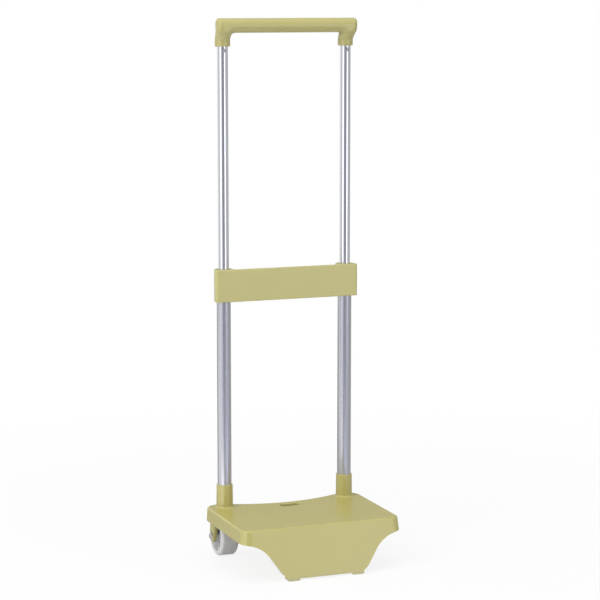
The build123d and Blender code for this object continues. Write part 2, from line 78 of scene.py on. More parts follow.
# %% Set up the camera
view_direction = math.radians(21.37)  # turned to the right from straight ahead
view_tilt = math.radians(8.258)  # below the horizon
view_distance = 3.2758  # on the floor, from the plane of the tubes
view_height = 0.8820
view_sidestep = 0.0242
picture_width = 600  # pixels
focal_length = 2087.1  # pixels
sensor_width = 36.0  # millimetres

ahead = Vector((math.sin(view_direction), math.cos(view_direction), 0))
across = Vector((math.cos(view_direction), -math.sin(view_direction), 0))
up = Vector((0, 0, 1))
look = ahead * math.cos(view_tilt) - up * math.sin(view_tilt)

camera_data = bpy.data.cameras.new("photo_camera")
camera_data.sensor_width = sensor_width
camera_data.lens = focal_length * sensor_width / picture_width
camera = bpy.data.objects.new("photo_camera", camera_data)
camera.location = Vector((0, tube_y, view_height)) - ahead * view_distance + across * view_sidestep
camera.rotation_euler = look.to_track_quat("-Z", "Y").to_euler()
bpy.context.scene.collection.objects.link(camera)
bpy.context.scene.camera = camera
bpy.context.scene.view_settings.view_transform = "Standard"
print("camera at", tuple(round(c, 3) for c in camera.location), "lens %.1f mm" % camera_data.lens)

# %% [markdown]
# ## Helpers for node trees
# Every finish and every repeated detail below is a small node tree. Written out in full, each node
# takes several lines, so a few helpers keep the trees short. One adds a node and sets or links its
# inputs, one reckons with two numbers, and three run from one number or colour to another.

# %% Node helpers


def add_node(tree, kind, settings=None, inputs=None):
    """Add a node, set its own settings, and set or link its inputs by name or number."""
    made = tree.nodes.new(kind)
    for name, value in (settings or {}).items():
        setattr(made, name, value)
    for name, value in (inputs or {}).items():
        if isinstance(value, bpy.types.NodeSocket):
            tree.links.new(value, made.inputs[name])
        else:
            made.inputs[name].default_value = value
    return made


def reckon(tree, operation, first, second):
    """What an operation makes of two numbers, which may be numbers or sockets."""
    return add_node(tree, "ShaderNodeMath", {"operation": operation}, {0: first, 1: second}).outputs[0]


def blend_values(tree, factor, low, high):
    """A number that runs from low to high as the factor runs from 0 to 1."""
    span = {"To Min": low, "To Max": high, "Value": factor}
    return add_node(tree, "ShaderNodeMapRange", inputs=span).outputs["Result"]


def ease_values(tree, value, start, end, low, high):
    """A number that eases from low to high as the value runs from start to end."""
    span = {"Value": value, "From Min": start, "From Max": end, "To Min": low, "To Max": high}
    eased = add_node(tree, "ShaderNodeMapRange", {"interpolation_type": "SMOOTHSTEP"}, span)
    return eased.outputs["Result"]


def blend_colours(tree, factor, first, second):
    """A colour between two colours, which may be colours or sockets."""
    made = add_node(tree, "ShaderNodeMix", {"data_type": "RGBA"}, {0: factor, 6: first, 7: second})
    return made.outputs[2]


print("helpers for node trees are ready")

# %% [markdown]
# ## Helpers for shared groups
# A finish is a material with one shader, fed by shared groups. A group is built once with named
# inputs and outputs, and each material places it with its own sizes, so that one kind of grain or
# wear looks alike wherever it appears. Most of them are made of noise in object space, which doesn't
# stretch on curved walls as a painted image would.

# %% Helpers for shared groups


def start_group(name, inputs, outputs):
    """A shader group with named number inputs and outputs, and its two end nodes."""
    group = bpy.data.node_groups.new(name, "ShaderNodeTree")
    for socket, default in inputs.items():
        made = group.interface.new_socket(socket, in_out="INPUT", socket_type="NodeSocketFloat")
        made.default_value = default
    for socket in outputs:
        group.interface.new_socket(socket, in_out="OUTPUT", socket_type="NodeSocketFloat")
    return group, group.nodes.new("NodeGroupInput"), group.nodes.new("NodeGroupOutput")


def object_place(tree):
    """Where a point of the surface lies on the object, in metres."""
    return add_node(tree, "ShaderNodeTexCoord").outputs["Object"]


def patchy_noise(tree, size, detail):
    """Noise with patches of a size in metres, finer inside as the detail goes up."""
    per_metre = reckon(tree, "DIVIDE", 1.0, size)
    sizes = {"Vector": object_place(tree), "Scale": per_metre, "Detail": detail}
    return add_node(tree, "ShaderNodeTexNoise", inputs=sizes).outputs["Fac"]


def place_group(tree, group, inputs):
    """Put a shared group into a material's tree, with that material's own values."""
    return add_node(tree, "ShaderNodeGroup", {"node_tree": group}, inputs).outputs


print("helpers for shared groups are ready")

# %% [markdown]
# ## Moulded grain
# Injection-moulded plastic copies the sparked steel of its mould: a very fine pebble that breaks up
# the gloss, and slow clouds of tone where the melt flowed. One shared group makes both, and each
# plastic places it with its own sizes.

# %% Shared group for moulded plastic
grain_group, grain_in, grain_out = start_group(
    "moulded_grain",
    {"Pebble Size": 0.0006, "Cloud Size": 0.08},
    ("Pebble", "Cloud"),
)
for result, detail in {"Pebble": 2.0, "Cloud": 3.0}.items():
    pattern = patchy_noise(grain_group, grain_in.outputs[f"{result} Size"], detail)
    grain_group.links.new(pattern, grain_out.inputs[result])
print("group:", grain_group.name)

# %% [markdown]
# ## Greyer near the floor
# The platform turns a little greyer and darker towards the floor. A mask that fades upwards from the
# floor and is broken up by noise says where it lies. Only the feet of the platform get it: the wheels
# turn, and a tone that stays low would slide round them.

# %% Shared group for the grey near the floor
low_grey_group, low_grey_in, low_grey_out = start_group(
    "grey_near_floor",
    {"Reach": 0.02, "Patch Size": 0.006},
    ("Mask",),
)
height = add_node(low_grey_group, "ShaderNodeSeparateXYZ", inputs={0: object_place(low_grey_group)}).outputs["Z"]
fade = ease_values(low_grey_group, height, start=0.0, end=low_grey_in.outputs["Reach"], low=1.0, high=0.0)
patches = patchy_noise(low_grey_group, low_grey_in.outputs["Patch Size"], detail=5.0)
low_grey_group.links.new(reckon(low_grey_group, "MULTIPLY", fade, patches), low_grey_out.inputs["Mask"])
print("group:", low_grey_group.name)

# %% [markdown]
# ## Rubbed edges and painted edge highlight
# Hands, bags and floors polish the outer edges of a moulding first, and rounded edges catch the light:
# both are painted here as edges a little paler than the faces, partly wear and partly a painted
# highlight. Painting them by hand would miss some, so the mask asks the shape itself. Rays sent into
# the solid meet another wall only near an outer edge, and noise breaks the mask up.

# %% Shared group for rubbed edges and painted edge highlight
# Paler edges here are partly wear and partly a painted highlight.
face_openness = 0.95  # share of the rays that meet no wall where an edge starts to be rubbed
edge_openness = 0.55  # and where it is fully rubbed
rub_and_highlight_group, rub_and_highlight_in, rub_and_highlight_out = start_group(
    "rubbed_and_highlit_edges",
    {"Reach": 0.002, "Patch Size": 0.02},
    ("Mask",),
)
inward = add_node(
    rub_and_highlight_group,
    "ShaderNodeAmbientOcclusion",
    {"inside": True, "only_local": True, "samples": 4},
    {"Distance": rub_and_highlight_in.outputs["Reach"]},
)
openness = inward.outputs["AO"]
edge = ease_values(rub_and_highlight_group, openness, start=face_openness, end=edge_openness, low=0.0, high=1.0)
patches = patchy_noise(rub_and_highlight_group, rub_and_highlight_in.outputs["Patch Size"], detail=4.0)
rub_and_highlight_group.links.new(reckon(rub_and_highlight_group, "MULTIPLY", edge, patches), rub_and_highlight_out.inputs["Mask"])
print("group:", rub_and_highlight_group.name)

# %% [markdown]
# ## Drawn streaks
# Tubes and rods are pulled through a die, which leaves fine lines along their length. Noise that is
# stretched along one axis gives these lines to the tubes, which stand along Z, and to the axle,
# which lies along X.

# %% Shared group for drawn metal
streak_group, streak_in, streak_out = start_group(
    "drawn_streaks",
    {"Lines X": 450.0, "Lines Y": 450.0, "Lines Z": 1.0},
    ("Streak",),
)
lines = add_node(
    streak_group,
    "ShaderNodeCombineXYZ",
    inputs={axis: streak_in.outputs[f"Lines {axis}"] for axis in "XYZ"},
)
stretched = add_node(
    streak_group,
    "ShaderNodeVectorMath",
    {"operation": "MULTIPLY"},
    {0: object_place(streak_group), 1: lines.outputs[0]},
)
streaks = add_node(
    streak_group,
    "ShaderNodeTexNoise",
    inputs={"Vector": stretched.outputs[0], "Scale": 1.0, "Detail": 2.0},
)
streak_group.links.new(streaks.outputs["Fac"], streak_out.inputs["Streak"])
print("group:", streak_group.name)

# %% [markdown]
# ## Helpers for materials
# Each material starts with its shader. Its colour and its roughness always change over the surface,
# so both are linked, and the pebble of the grain goes to the shader as a bump.

# %% Helpers for materials
plain = (1, 1, 1)  # a tint that changes nothing


def start_material(name):
    """A material with its tree and its shader."""
    material = bpy.data.materials.new(name)
    material.use_nodes = True
    return material, material.node_tree, material.node_tree.nodes["Principled BSDF"]


def paint(tree, shader, colour, roughness):
    """Link a colour and a roughness to a shader."""
    tree.links.new(colour, shader.inputs["Base Color"])
    tree.links.new(roughness, shader.inputs["Roughness"])


def raise_pebble(tree, shader, grain, strength, depth):
    """Let the pebble of a moulded grain stand out of the surface."""
    sizes = {"Strength": strength, "Distance": depth, "Height": grain["Pebble"]}
    bump = add_node(tree, "ShaderNodeBump", inputs=sizes)
    tree.links.new(bump.outputs[0], shader.inputs["Normal"])


def tinted(colour, tint):
    """A colour with its red, green and blue scaled by a tint."""
    return tuple(part * scale for part, scale in zip(colour, tint)) + (1,)


def dress(names, material):
    """Give a material to pieces of the frame."""
    for name in names:
        nodes[name].data.materials.clear()
        nodes[name].data.materials.append(material)
    print(material.name, "on", ", ".join(names))


def pair(*stems):
    """The names of pieces that come once on the left and once on the right."""
    return [f"{stem}_{side}" for stem in stems for side in ("left", "right")]


print("helpers for materials are ready")

# %% [markdown]
# ## Khaki moulding
# The platform, the crossbar and the grip are one plastic: a yellowish khaki, satin, with slow clouds
# of tone and paler edges, which are partly wear and partly a painted highlight. The platform also
# turns greyer towards the floor. The crossbar is tinted a little paler and bluer as a painted sheen,
# and the grip a little darker as painted shade and with a finer grain, so one function makes the three
# finishes from a tint and a few numbers.

# %% Khaki plastic
khaki_deep = (0.383, 0.345, 0.100)
khaki_pale = (0.410, 0.369, 0.115)
# The paler edge colour is partly wear and partly a painted highlight.
rubbed_and_highlit_khaki = (0.438, 0.395, 0.138)
low_grey_colour = (0.330, 0.312, 0.200, 1)
khaki_sheen = 1.0


def khaki_plastic(name, tint, pebble_depth, gloss, greyed_low=False):
    """Satin khaki with its tint, the depth of its grain and its lowest and highest roughness."""
    material, tree, shader = start_material(name)
    grain = place_group(tree, grain_group, {"Pebble Size": 0.0007, "Cloud Size": 0.07})
    rub_and_highlight = place_group(tree, rub_and_highlight_group, {"Reach": 0.002, "Patch Size": 0.02})
    colour = blend_colours(tree, grain["Cloud"], tinted(khaki_deep, tint), tinted(khaki_pale, tint))
    # Edges go paler: partly wear, partly a painted highlight.
    colour = blend_colours(tree, rub_and_highlight["Mask"], colour, tinted(rubbed_and_highlit_khaki, tint))
    if greyed_low:
        low_grey_mask = place_group(tree, low_grey_group, {"Reach": 0.008, "Patch Size": 0.005})
        colour = blend_colours(tree, low_grey_mask["Mask"], colour, low_grey_colour)
    paint(tree, shader, colour, blend_values(tree, grain["Cloud"], *gloss))
    raise_pebble(tree, shader, grain, strength=0.35, depth=pebble_depth)
    shader.inputs["Specular IOR Level"].default_value = khaki_sheen
    return material


khaki_platform = khaki_plastic(
    "khaki_platform", tint=plain, pebble_depth=0.00004, gloss=(0.282, 0.30), greyed_low=True
)
# The crossbar's paler, bluer tint is a painted sheen on the same khaki.
khaki_crossbar_painted_sheen = khaki_plastic(
    "khaki_crossbar_painted_sheen", tint=(1.05, 1.08, 1.25), pebble_depth=0.00005, gloss=(0.285, 0.35)
)
# The grip's darker tint is painted shade on the same khaki.
khaki_grip_painted_shade = khaki_plastic(
    "khaki_grip_painted_shade", tint=(0.94, 0.945, 1.02), pebble_depth=0.00002, gloss=(0.282, 0.30)
)
dress(["base_shell"], khaki_platform)
dress(["crossbar"], khaki_crossbar_painted_sheen)

# %% [markdown]
# ## A net over the grip
# On the real grip the bar runs into its necks in one soft bend. The solid joins the two with a rounded
# seam that still shows as a ledge, and a piece of the frame is never changed. So the grip is copied,
# its loose triangles are joined, and it is rebuilt as an even net of small squares, which the next two
# steps can shape.

# %% Net over the grip
net_size = 0.0008
join_distance = 1e-6


def joined_copy(node):
    """A copy of a piece of the frame with its loose triangles joined, as a net that can be edited."""
    net = bmesh.new()
    net.from_mesh(nodes[node].data)
    bmesh.ops.remove_doubles(net, verts=net.verts, dist=join_distance)
    return net


def settle(net, name):
    """A new object made of an edited net."""
    mesh = bpy.data.meshes.new(name)
    net.to_mesh(mesh)
    net.free()
    made = bpy.data.objects.new(name, mesh)
    bpy.context.scene.collection.objects.link(made)
    return made


def apply_modifiers(made):
    """Keep what the modifiers of an object give as its plain mesh."""
    graph = bpy.context.evaluated_depsgraph_get()
    made.data = bpy.data.meshes.new_from_object(made.evaluated_get(graph))
    made.modifiers.clear()


grip = settle(joined_copy("handle_grip"), "handle_grip_skin")
rebuilt = grip.modifiers.new("net", "REMESH")
rebuilt.mode = "VOXEL"
rebuilt.voxel_size = net_size
rebuilt.use_smooth_shade = True
apply_modifiers(grip)
print(grip.name, "has", len(grip.data.polygons), "faces")

# %% [markdown]
# ## Covers over the bends
# A cover is stretched over the front of each bend, like cloth pulled tight from the end of the bar
# down to the sleeve. It is the convex hull of that corner of the grip, cut out by three planes. The
# points of the net under it go most of the way out to it. All the way would leave the flat facets of
# the hull, and half of the way would leave the ledge.

# %% Covers over the bends
cover_reach = 0.0112  # how far a cover goes inwards from its tube
cover_start = 0.0115  # how far above the foot of a sleeve a cover starts
cover_gap = 0.02  # how far a point may be under its cover
cover_share = 0.8  # how much of the way to its cover it goes
seat_reach = 0.0100  # points nearer to the axis of a tube belong to its seat
fill_direction = Vector((0, -0.8, -0.6))  # forwards and down, where the ledge lies
facing_share = 0.1  # how much a point has to face that way
grip_low, grip_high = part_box("handle_grip")


def cut(net, place, direction, drop_behind=False):
    """Cut a net along a plane, and drop what lies behind it if asked to."""
    everything = net.verts[:] + net.edges[:] + net.faces[:]
    bmesh.ops.bisect_plane(
        net, geom=everything, plane_co=place, plane_no=direction, clear_inner=drop_behind
    )


def bend_cover(side):
    """The tight cover over the front of one bend: from the end of the bar down to the sleeve."""
    corner = joined_copy("handle_grip")
    cut(corner, (side * (tube_x - cover_reach), 0, 0), (side, 0, 0), drop_behind=True)
    cut(corner, (0, 0, grip_low.z + cover_start), (0, 0, 1), drop_behind=True)
    cut(corner, (0, tube_y, 0), (0, -1, 0), drop_behind=True)
    cover = bmesh.new()
    for vertex in corner.verts:
        cover.verts.new(vertex.co)
    bmesh.ops.convex_hull(cover, input=cover.verts)
    skin = BVHTree.FromBMesh(cover)
    cover.free()
    corner.free()
    return skin


covers = {side: bend_cover(side) for side in (-1, 1)}
outward = [vertex.normal.copy() for vertex in grip.data.vertices]
covered = 0
for vertex, normal in zip(grip.data.vertices, outward):
    from_axis = Vector((abs(vertex.co.x) - tube_x, vertex.co.y - tube_y)).length
    if from_axis > seat_reach and normal.dot(fill_direction) > facing_share:
        cover = covers[1 if vertex.co.x > 0 else -1]
        place = cover.ray_cast(vertex.co, fill_direction, cover_gap)[0]
        if place:
            vertex.co = vertex.co.lerp(place, cover_share)
            covered += 1
grip.data.update()
print("points that went out to a cover:", covered)

# %% [markdown]
# ## Relaxing the bends
# The net is relaxed round the bends: most at the seam, and not at all along the bar and at the feet of
# the sleeves. Relaxing alone would also wear down the round ends of the bar, so the net keeps only the
# part of each move that fills the seam. It is then relaxed a little more there, and at last evened all
# over.

# %% Relaxed bends
bar_radius = 0.01125
bend_out = 0.008  # how far outside the axis of its tube a bend has its middle
bend_back = 0.012  # and how far behind the front of the bar
bend_middle = Vector((tube_x + bend_out, grip_low.y + bend_back, grip_high.z - 2 * bar_radius))
bend_reach = Vector((0.030, 0.026, 0.020))  # how far from its middle a bend is relaxed
fill_rounds = 1200
smooth_rounds = 35
even_rounds = 6


def relax(made, rounds, group=""):
    """Relax the net of an object, all over or by the weights of one of its groups."""
    relaxed = made.modifiers.new("relax", "SMOOTH")
    relaxed.vertex_group = group
    relaxed.iterations = rounds
    apply_modifiers(made)


bends = grip.vertex_groups.new(name="bends")
for vertex in grip.data.vertices:
    away = Vector((abs(vertex.co.x), vertex.co.y, vertex.co.z)) - bend_middle
    near = 1 - min(1, Vector(a / b for a, b in zip(away, bend_reach)).length)
    if near > 0:
        bends.add([vertex.index], near * near * (3 - 2 * near), "REPLACE")
before = [vertex.co.copy() for vertex in grip.data.vertices]
outward = [vertex.normal.copy() for vertex in grip.data.vertices]
relax(grip, fill_rounds, bends.name)
for vertex, old, normal in zip(grip.data.vertices, before, outward):
    vertex.co = old + normal * max(0, (vertex.co - old).dot(normal))
relax(grip, smooth_rounds, bends.name)
relax(grip, even_rounds)
grip.vertex_groups.clear()
grip.data.materials.clear()
grip.data.materials.append(khaki_grip_painted_shade)
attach(grip, "handle")
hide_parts("handle_grip")
print(grip.name, "stands for handle_grip, in", khaki_grip_painted_shade.name)

# %% [markdown]
# ## Aluminium tubes
# The thin tubes are bright and mirror the studio in crisp bands. The thick tubes are the same metal
# with a satin skin, so their bands are soft. Both get the die lines along their length.

# %% Aluminium
dull_share = (0.93, 0.93, 0.93)


def drawn_metal(name, colour, roughness, lines):
    """Drawn metal with streaks along one axis: lines gives the streaks' density on each axis."""
    material, tree, shader = start_material(name)
    streak = place_group(tree, streak_group, dict(zip(("Lines X", "Lines Y", "Lines Z"), lines)))["Streak"]
    streaked = blend_colours(tree, streak, tinted(colour, dull_share), colour)
    paint(tree, shader, streaked, blend_values(tree, streak, *roughness))
    shader.inputs["Metallic"].default_value = 1.0
    return material


along_z = (450.0, 450.0, 1.0)
along_x = (1.0, 450.0, 450.0)
bright_aluminium = drawn_metal("bright_aluminium", (0.84, 0.845, 0.865, 1), (0.11, 0.15), along_z)
satin_aluminium = drawn_metal("satin_aluminium", (0.555, 0.56, 0.59, 1), (0.29, 0.35), along_z)
dress(pair("inner_tube"), bright_aluminium)
dress(pair("outer_tube"), satin_aluminium)

# %% [markdown]
# ## Wheels
# The wheels are one light grey moulding, satin and slightly cloudy, paler along the edges of the
# rim, partly wear and partly a painted highlight. They share the grain and the paler edges with the
# khaki plastic.

# %% Wheel plastic
wheel_grey = (0.570, 0.568, 0.572, 1)
wheel_pale = (0.620, 0.618, 0.622, 1)
# Paler edge grey: partly wear, partly a painted highlight.
wheel_rubbed_and_highlit = (0.720, 0.715, 0.710, 1)
wheel_plastic, tree, shader = start_material("wheel_grey_plastic")
grain = place_group(tree, grain_group, {"Pebble Size": 0.0009, "Cloud Size": 0.02})
rub_and_highlight = place_group(tree, rub_and_highlight_group, {"Reach": 0.003, "Patch Size": 0.01})
colour = blend_colours(tree, grain["Cloud"], wheel_grey, wheel_pale)
# Rim edges go paler: partly wear, partly a painted highlight.
colour = blend_colours(tree, rub_and_highlight["Mask"], colour, wheel_rubbed_and_highlit)
paint(tree, shader, colour, blend_values(tree, grain["Cloud"], low=0.36, high=0.50))
raise_pebble(tree, shader, grain, strength=0.3, depth=0.0001)
dress(pair("wheel"), wheel_plastic)

# %% [markdown]
# ## Small metal and the sliding plastic
# The axle caps are pressed from soft satin steel, and the buttons are turned from a darker, smoother
# one. The axle, springs and screws are zinc plated, and the bushes and slider caps are a pale
# plastic that slides well. Pressed and turned steel shows no long lines, so its streaks are cut as
# short on every axis.

# %% Hardware
short_marks = (500.0, 500.0, 500.0)
zinc_grey = (0.62, 0.63, 0.65, 1)
cap_steel = drawn_metal("satin_cap_steel", (0.60, 0.585, 0.57, 1), (0.44, 0.52), short_marks)
button_steel = drawn_metal("button_steel", (0.50, 0.50, 0.53, 1), (0.20, 0.26), short_marks)
zinc = drawn_metal("zinc_steel", zinc_grey, (0.30, 0.40), short_marks)
dress(pair("axle_cap"), cap_steel)
dress(pair("upper_button", "lower_button"), button_steel)
dress(pair("socket_screw", "crossbar_screw", "handle_screw"), zinc)
dress(["axle"], drawn_metal("zinc_axle", zinc_grey, (0.29, 0.36), along_x))

sliding_grey = (0.58, 0.58, 0.55, 1)
sliding_pale = (0.66, 0.66, 0.63, 1)
material, tree, shader = start_material("pale_sliding_plastic")
cloud = place_group(tree, grain_group, {"Pebble Size": 0.0005, "Cloud Size": 0.01})["Cloud"]
colour = blend_colours(tree, cloud, sliding_grey, sliding_pale)
paint(tree, shader, colour, blend_values(tree, cloud, low=0.34, high=0.44))
dress(pair("guide_bush", "slider_cap"), material)

# %% [markdown]
# ## Sliced leaf springs
# Behind each button sits a bent leaf spring: one leg leans on the back of the tube, and the other
# carries the button. A rigid strip would be cut through by a pressed button. So each spring is copied
# and sliced every millimetre, and the copy takes its place.

# %% Leaf springs
slice_height = 0.001


def flexing_spring(name, button):
    """A copy of a leaf spring, sliced every millimetre, that takes the spring's place."""
    low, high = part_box(name)
    strip = joined_copy(name)
    for step in range(1, int((high.z - low.z) / slice_height)):
        cut(strip, (0, 0, low.z + step * slice_height), (0, 0, 1))
    made = settle(strip, f"{name}_strip")
    made.data.materials.append(zinc)
    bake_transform(made)
    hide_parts(name)
    print(made.name, "bends between handle and", button)


for spring, button in zip(pair("upper_spring", "lower_spring"), pair("upper_button", "lower_button")):
    flexing_spring(spring, button)

# %% [markdown]
# ## Helpers for geometry trees
# Details that repeat, or that run along a surface, are grown by Geometry Nodes instead of being
# modelled one by one. Each tree has named inputs for its sizes. It runs once, and its result is kept
# as a plain mesh that rides on one body of the trolley.

# %% Helpers for geometry trees


def start_tree(name, inputs):
    """A geometry tree with named inputs, the sockets that give them and the socket of its result."""
    tree = bpy.data.node_groups.new(name, "GeometryNodeTree")
    for socket, kind in inputs.items():
        tree.interface.new_socket(socket, in_out="INPUT", socket_type=f"NodeSocket{kind}")
    tree.interface.new_socket("Mesh", in_out="OUTPUT", socket_type="NodeSocketGeometry")
    given = tree.nodes.new("NodeGroupInput").outputs
    return tree, given, tree.nodes.new("NodeGroupOutput").inputs["Mesh"]


def end_tree(tree, shape, finish, result):
    """Turn instances into one mesh, give it its finish and pass it out of the tree."""
    solid = add_node(tree, "GeometryNodeRealizeInstances", inputs={"Geometry": shape})
    dressed = add_node(
        tree, "GeometryNodeSetMaterial", inputs={"Geometry": solid.outputs[0], "Material": finish}
    )
    tree.links.new(dressed.outputs[0], result)


def grow(name, tree, body, values):
    """Run a tree with its values, keep the result as a plain mesh and let it ride on a body."""
    made = bpy.data.objects.new(name, bpy.data.meshes.new(name))
    bpy.context.scene.collection.objects.link(made)
    modifier = made.modifiers.new(tree.name, "NODES")
    modifier.node_group = tree
    for socket in tree.interface.items_tree:
        if socket.in_out == "INPUT":
            modifier[socket.identifier] = values[socket.name]
    apply_modifiers(made)
    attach(made, body)
    print(name, "has", len(made.data.polygons), "faces and rides on", body)
    return made


print("helpers for geometry trees are ready")

# %% [markdown]
# ## Spokes in the wheels
# The dish of a moulded wheel is stiffened by thin ribs between its hub and its rim. The tree sets a
# point on a circle for each rib, stands one block there, turns it outwards by its number and lays the
# ring on the axle. A bevel then rounds the ribs as a mould does.

# %% Tree of the spokes
spoke_tree, given, result = start_tree(
    "wheel_spokes",
    {"Count": "Int", "Hub": "Float", "Rim": "Float", "Thickness": "Float", "Depth": "Float",
     "Centre": "Vector", "Finish": "Material"},
)
both_radii = reckon(spoke_tree, "ADD", given["Hub"], given["Rim"])
middle_radius = reckon(spoke_tree, "MULTIPLY", both_radii, 0.5)
length = reckon(spoke_tree, "SUBTRACT", given["Rim"], given["Hub"])
ring = add_node(
    spoke_tree, "GeometryNodeMeshCircle", inputs={"Vertices": given["Count"], "Radius": middle_radius}
)
size = add_node(
    spoke_tree,
    "ShaderNodeCombineXYZ",
    inputs={"X": length, "Y": given["Thickness"], "Z": given["Depth"]},
)
block = add_node(spoke_tree, "GeometryNodeMeshCube", inputs={"Size": size.outputs[0]})
part_turn = reckon(spoke_tree, "DIVIDE", math.tau, given["Count"])
number = add_node(spoke_tree, "GeometryNodeInputIndex").outputs[0]
turn = reckon(spoke_tree, "MULTIPLY", number, part_turn)
spin = add_node(spoke_tree, "ShaderNodeCombineXYZ", inputs={"Z": turn})
spokes = add_node(
    spoke_tree,
    "GeometryNodeInstanceOnPoints",
    inputs={"Points": ring.outputs["Mesh"], "Instance": block.outputs["Mesh"], "Rotation": spin.outputs[0]},
)
flat_to_axle = (0, math.radians(90), 0)
laid = add_node(
    spoke_tree,
    "GeometryNodeTransform",
    inputs={"Geometry": spokes.outputs[0], "Translation": given["Centre"], "Rotation": flat_to_axle},
)
end_tree(spoke_tree, laid.outputs[0], given["Finish"], result)
print("tree:", spoke_tree.name)

# %% [markdown]
# The tree now runs once for each wheel. The ribs start inside the hub and end inside the rim, so no
# gap shows at either end, and each set turns with its own wheel.

# %% Spokes of both wheels
spoke_sizes = {"Count": 6, "Hub": 0.0074, "Rim": 0.0250, "Thickness": 0.0022, "Depth": 0.0200}
for name in pair("wheel"):
    low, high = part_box(name)
    values = {"Centre": (low + high) / 2, "Finish": wheel_plastic, **spoke_sizes}
    ribs = grow(f"{name}_spokes", spoke_tree, name, values)
    rounding = ribs.modifiers.new("rounding", "BEVEL")
    rounding.width = 0.0005
    rounding.segments = 2

# %% [markdown]
# ## Marks of the ejector pins
# Round steel pins push a moulding out of its mould and leave flat, slightly shinier discs on the side
# that does not show. They lie in a grid under the platform and in the pockets behind the crossbar. A
# grid of points with a thin disc on each gives both, laid in its own plane.

# %% Tree of the pin marks
pin_tree, given, result = start_tree(
    "pin_marks",
    {"Columns": "Int", "Rows": "Int", "Width": "Float", "Length": "Float", "Radius": "Float",
     "Height": "Float", "Centre": "Vector", "Turn": "Rotation", "Finish": "Material"},
)
grid = add_node(
    pin_tree,
    "GeometryNodeMeshGrid",
    inputs={
        "Size X": given["Width"],
        "Size Y": given["Length"],
        "Vertices X": given["Columns"],
        "Vertices Y": given["Rows"],
    },
)
disc = add_node(
    pin_tree,
    "GeometryNodeMeshCylinder",
    inputs={"Vertices": 32, "Radius": given["Radius"], "Depth": given["Height"]},
)
marks = add_node(
    pin_tree,
    "GeometryNodeInstanceOnPoints",
    inputs={"Points": grid.outputs["Mesh"], "Instance": disc.outputs["Mesh"]},
)
laid = add_node(
    pin_tree,
    "GeometryNodeTransform",
    inputs={"Geometry": marks.outputs[0], "Translation": given["Centre"], "Rotation": given["Turn"]},
)
end_tree(pin_tree, laid.outputs[0], given["Finish"], result)
print("tree:", pin_tree.name)

# %% [markdown]
# Under the platform the marks lie flat, between its ribs. Behind the crossbar the grid stands upright
# on the inside of its front wall.

# %% Pin marks on both mouldings
pin_finish = khaki_plastic("khaki_pin_marks", tint=plain, pebble_depth=0.00001, gloss=(0.14, 0.20))
pin_sizes = {"Radius": 0.0035, "Height": 0.0003, "Finish": pin_finish}
platform_underside = 0.077
between_ribs = -0.0388  # how far forwards the middle of the marks lies
crossbar_wall = 0.0025
crossbar_low, crossbar_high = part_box("crossbar")
crossbar_middle = (crossbar_low.z + crossbar_high.z) / 2
under_platform = {
    "Columns": 4,
    "Rows": 2,
    "Width": 0.180,
    "Length": 0.0545,
    "Centre": (0, between_ribs, platform_underside),
    "Turn": (0, 0, 0),
}
behind_crossbar = {
    "Columns": 5,
    "Rows": 2,
    "Width": 0.140,
    "Length": 0.024,
    "Centre": (0, crossbar_low.y + crossbar_wall, crossbar_middle),
    "Turn": (math.radians(90), 0, 0),
}
grow("platform_pin_marks", pin_tree, "frame", {**under_platform, **pin_sizes})
grow("crossbar_pin_marks", pin_tree, "frame", {**behind_crossbar, **pin_sizes})

# %% [markdown]
# ## Parting line of the grip
# The two halves of the grip's mould meet along the top of the bar and leave a hairline there. A line
# is drawn above the bar and dropped onto it: every point travels straight down until it meets the
# grip, so the hairline follows the rounded ends by itself.

# %% Tree of the parting line
line_tree, given, result = start_tree(
    "parting_line",
    {"Start": "Vector", "End": "Vector", "Points": "Int", "Radius": "Float", "Fall": "Float",
     "Surface": "Object", "Finish": "Material"},
)
above = add_node(
    line_tree, "GeometryNodeCurvePrimitiveLine", inputs={"Start": given["Start"], "End": given["End"]}
)
points = add_node(
    line_tree, "GeometryNodeResampleCurve", inputs={"Curve": above.outputs[0], "Count": given["Points"]}
)
surface = add_node(
    line_tree, "GeometryNodeObjectInfo", {"transform_space": "RELATIVE"}, {"Object": given["Surface"]}
)
fall = add_node(
    line_tree,
    "GeometryNodeRaycast",
    inputs={
        "Target Geometry": surface.outputs["Geometry"],
        "Ray Direction": (0, 0, -1),
        "Ray Length": given["Fall"],
    },
)
dropped = add_node(
    line_tree,
    "GeometryNodeSetPosition",
    inputs={"Geometry": points.outputs[0], "Position": fall.outputs["Hit Position"]},
)
profile = add_node(
    line_tree, "GeometryNodeCurvePrimitiveCircle", inputs={"Resolution": 6, "Radius": given["Radius"]}
)
thread = add_node(
    line_tree,
    "GeometryNodeCurveToMesh",
    inputs={"Curve": dropped.outputs[0], "Profile Curve": profile.outputs[0], "Fill Caps": True},
)
end_tree(line_tree, thread.outputs[0], given["Finish"], result)
print("tree:", line_tree.name)

# %% [markdown]
# The line starts just inside one end of the bar, runs over its middle and stops just inside the other
# end, so that every point finds the grip under it.

# %% Parting line on the bar
line_lift = 0.005  # how far above the bar the line is drawn
line_inset = 0.0005  # how far inside the ends of the bar it stops
line_height = grip_high.z + line_lift
line_reach = grip_high.x - line_inset
bar_middle = grip_low.y + bar_radius
line_sizes = {
    "Start": (-line_reach, bar_middle, line_height),
    "End": (line_reach, bar_middle, line_height),
    "Points": 400,
    "Radius": 0.00012,
    "Fall": 0.02,
    "Surface": grip,
    "Finish": khaki_grip_painted_shade,
}
grow("grip_parting_line", line_tree, "handle", line_sizes)

# %% [markdown]
# ## The floor
# The photograph has a white ground. The camera, mirrors and glass look straight at it, so for their
# rays the floor glows: at a strength of 1 further off, and a little less near the trolley. For all
# other light it stays a pale floor, which keeps the shadow. It is clear from below, so that the ribs
# under the platform can be looked at too.

